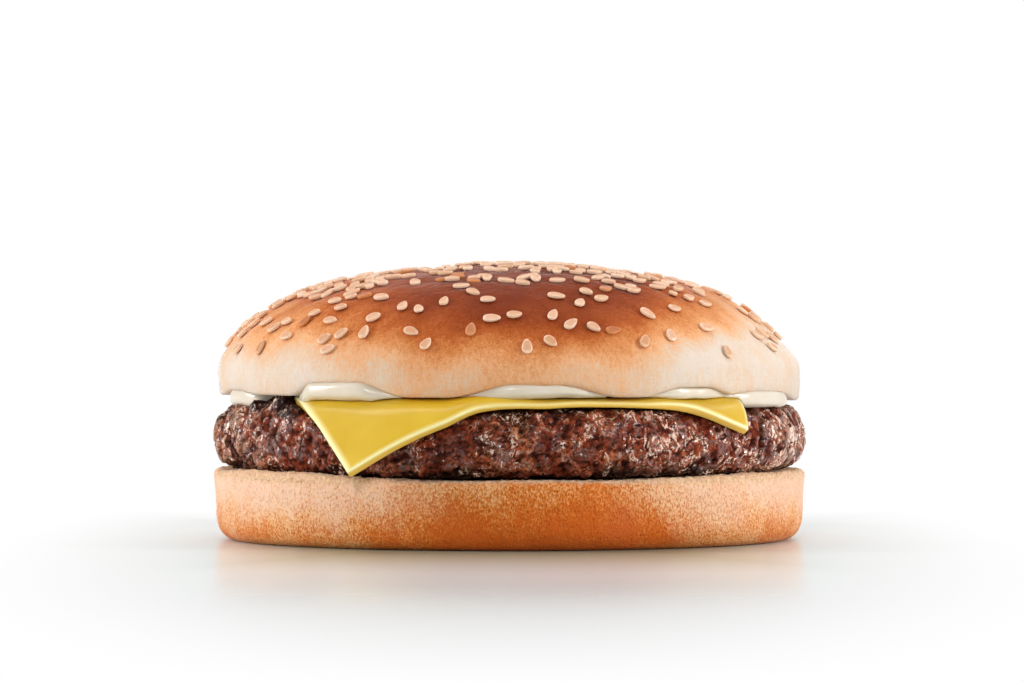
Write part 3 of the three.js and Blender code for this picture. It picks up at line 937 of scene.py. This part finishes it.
def make_seeds(seeds):
    """Flat teardrop seeds at true size, each in its hollow, most a hair clear of the crust."""
    rng = np.random.default_rng(11)
    rows, columns = 14, 18  # of points, from end to end and around
    along = np.radians(np.linspace(0, 180, rows))
    around = np.radians(np.arange(columns) * 360 / columns)
    t, a = np.meshgrid(along, around, indexing="ij")
    width = np.sin(t) ** 0.95 * (0.35 + 0.65 * np.sin(t / 2))
    width = width / width.max()
    thick = np.sin(t) ** 0.6
    flat = [np.sign(v) * np.abs(v) ** 0.62 for v in (np.cos(a), np.sin(a))]
    base = np.stack([-np.cos(t), width * flat[0], thick * flat[1]], -1)
    to_rim = np.maximum(np.abs(flat[0]), np.abs(np.cos(t)))
    base[..., 2] -= 0.3 * (1 - smooth(to_rim, 0.25, 0.75)) * (base[..., 2] > 0)
    i, j = np.meshgrid(np.arange(rows - 1), np.arange(columns), indexing="ij")
    k = (j + 1) % columns
    quads = np.stack([i * columns + j, (i + 1) * columns + j,
                      (i + 1) * columns + k, i * columns + k], -1).reshape(-1, 4)
    spots, normals = dome_point(seeds[:, 0], seeds[:, 1])
    spots = spots + normals * (crust_height(spots) - DIMPLE)[:, None]
    all_points, all_faces, rims, toasts = [], [], [], []
    for spot, normal, (_, _, turn, toast) in zip(spots, normals, seeds):
        sizes = [rng.uniform(*span) for span in (SEED_LENGTHS, SEED_WIDTHS, SEED_DEPTHS)]
        size = np.array(sizes) / 2
        local = base.reshape(-1, 3) * size
        local[:, 2] += 0.06 * local[:, 0] * rng.normal()
        side = np.cross([0, 0, 1], normal)
        side = side / max(np.linalg.norm(side), 1e-6)
        up = np.cross(normal, side)
        c, s = math.cos(math.radians(turn)), math.sin(math.radians(turn))
        ahead, across = c * side + s * up, -s * side + c * up
        sunk = rng.uniform(0.0, SEED_SUNK) + (TOASTED_SUNK if toast > TOASTED else 0.0)
        centre = spot + normal * (size[2] + SEED_CLEAR - sunk)
        points = centre - local @ np.array([ahead, across, -normal])
        all_faces.append(quads + len(all_points) * len(local))
        all_points.append(points)
        # Painted highlight: rim lightens each seed towards its outline.
        rims.append(smooth(to_rim, 0.6, 0.85).ravel())
        toasts.append(np.full(len(local), toast))
    values = {"rim": np.concatenate(rims), "toast": np.concatenate(toasts)}
    piece_from("sesame_seeds", np.concatenate(all_points), np.concatenate(all_faces).tolist(),
               sesame_finish(), [], values)


# ---------------------------------------------------------------- the studio

def make_camera():
    """A long lens, level with the crown and in front of the bun's axis."""
    away, aside, height, tilt = 850, 0.47, 38.1, 0.083
    data = bpy.data.cameras.new("view")
    data.sensor_width, data.lens = 36.0, 160.07
    data.clip_start, data.clip_end = 0.05, 20.0
    camera = bpy.data.objects.new("view", data)
    camera.location = (aside * MM, (AXIS_BACK - away) * MM, height * MM)
    camera.rotation_euler = (math.radians(90 - tilt), 0, 0)
    bpy.context.scene.collection.objects.link(camera)
    bpy.context.scene.camera = camera


def make_lamp(name, place, aim, width, height, power, colour=(1, 1, 1)):
    data = bpy.data.lights.new(name, "AREA")
    data.shape, data.size, data.size_y = "RECTANGLE", width, height
    data.energy, data.color = power, colour
    lamp = bpy.data.objects.new(name, data)
    lamp.location = place
    lamp.rotation_euler = (Vector(aim) - Vector(place)).to_track_quat("-Z", "Y").to_euler()
    bpy.context.scene.collection.objects.link(lamp)


def make_studio():
    """A white sweep: softboxes at both sides, one over the back and a weak one in front."""
    middle = (0, 0, 0.03)
    make_lamp("left_box", (-0.62, -0.06, 0.24), middle, 0.07, 0.28, 2.2)
    make_lamp("right_box", (0.58, -0.2, 0.24), middle, 0.07, 0.28, 2.2)
    make_lamp("top_box", (0, 0.25, 0.65), middle, 0.8, 0.5, 2.7)
    make_lamp("front_box", (-0.12, -1.05, 0.34), middle, 0.12, 0.12, 3.4)
    world = bpy.data.worlds.new("white_sweep")
    bpy.context.scene.world = world
    world.use_nodes = True
    tree = world.node_tree
    tree.nodes.clear()
    seen = tree.nodes.new("ShaderNodeLightPath")
    place = tree.nodes.new("ShaderNodeTexCoord")
    parts = tree.nodes.new("ShaderNodeSeparateXYZ")
    light = tree.nodes.new("ShaderNodeMapRange")
    strength = tree.nodes.new("ShaderNodeMix")
    sky = tree.nodes.new("ShaderNodeBackground")
    out = tree.nodes.new("ShaderNodeOutputWorld")
    tree.links.new(place.outputs["Generated"], parts.inputs["Vector"])
    tree.links.new(parts.outputs["Y"], light.inputs["Value"])
    light.inputs["From Min"].default_value = -1.0
    light.inputs["To Min"].default_value = 0.12
    light.inputs["To Max"].default_value = 0.75
    tree.links.new(seen.outputs["Is Camera Ray"], strength.inputs["Factor"])
    tree.links.new(light.outputs["Result"], strength.inputs["A"])
    strength.inputs["B"].default_value = 1.0
    sky.inputs["Color"].default_value = (1, 1, 1, 1)
    tree.links.new(strength.outputs["Result"], sky.inputs["Strength"])
    tree.links.new(sky.outputs["Background"], out.inputs["Surface"])
    bpy.context.scene.view_settings.view_transform = "Standard"


def make_floor():
    """A pale table top that melts into the white behind, at the sides and far in front."""
    mesh = bpy.data.meshes.new("floor")
    size = 6.0  # metres
    reach_x, reach_y = 95, 375  # half axes of the ellipse outside which it is white
    corners = [(-size, -size, 0), (size, -size, 0), (size, size, 0), (-size, size, 0)]
    mesh.from_pydata(corners, [], [(0, 1, 2, 3)])
    f = Finish("pale_table")
    x, y = f.coordinate("X"), f.coordinate("Y")
    away = f.distance(f.math("MULTIPLY", x, 1 / reach_x), f.math("MULTIPLY", y, 1 / reach_y))
    clear = f.math("MAXIMUM", f.step(y, 40.0, 140.0), f.step(away, 0.45, 1.02))
    near = f.distance(x, y)
    aside = f.step(f.math("ABSOLUTE", x), 25.0, 60.0)
    outside_painted_shadow = f.math("MAXIMUM", f.step(near, 58.0, 136.0), aside)
    far = f.step(y, -130.0, -240.0)
    before = f.mix(srgb(211, 219, 221), srgb(207, 210, 210), far)
    beside = f.mix(srgb(220, 223, 219), srgb(213, 216, 212), far)
    # Painted shadow: close in front of the bun, away from its sides, the table is darkened towards
    # this grey green.
    pale = f.mix(srgb(158, 170, 148), f.mix(before, beside, aside), outside_painted_shadow)
    blur = f.step(y, -140.0, -270.0, 0.21, 0.42)
    f.set(Base_Color=pale, Roughness=blur, Specular_IOR_Level=0.5)
    glow = f.add("Emission", {"Color": (1, 1, 1, 1), "Strength": 1.0}).outputs[0]
    both = f.add("MixShader", {"Fac": clear})
    f.put(both.inputs[1], f.shader.outputs["BSDF"])
    f.put(both.inputs[2], glow)
    f.put(f.tree.nodes["Material Output"].inputs["Surface"], both.outputs[0])
    mesh.materials.append(f.material)
    floor = bpy.data.objects.new("floor", mesh)
    bpy.context.scene.collection.objects.link(floor)


make_camera()
make_studio()
make_floor()
make_heel()
make_patty()
make_cheese()
make_mayonnaise()
places = seed_places()
make_crown(places)
make_seeds(places)

bpy.context.view_layer.update()
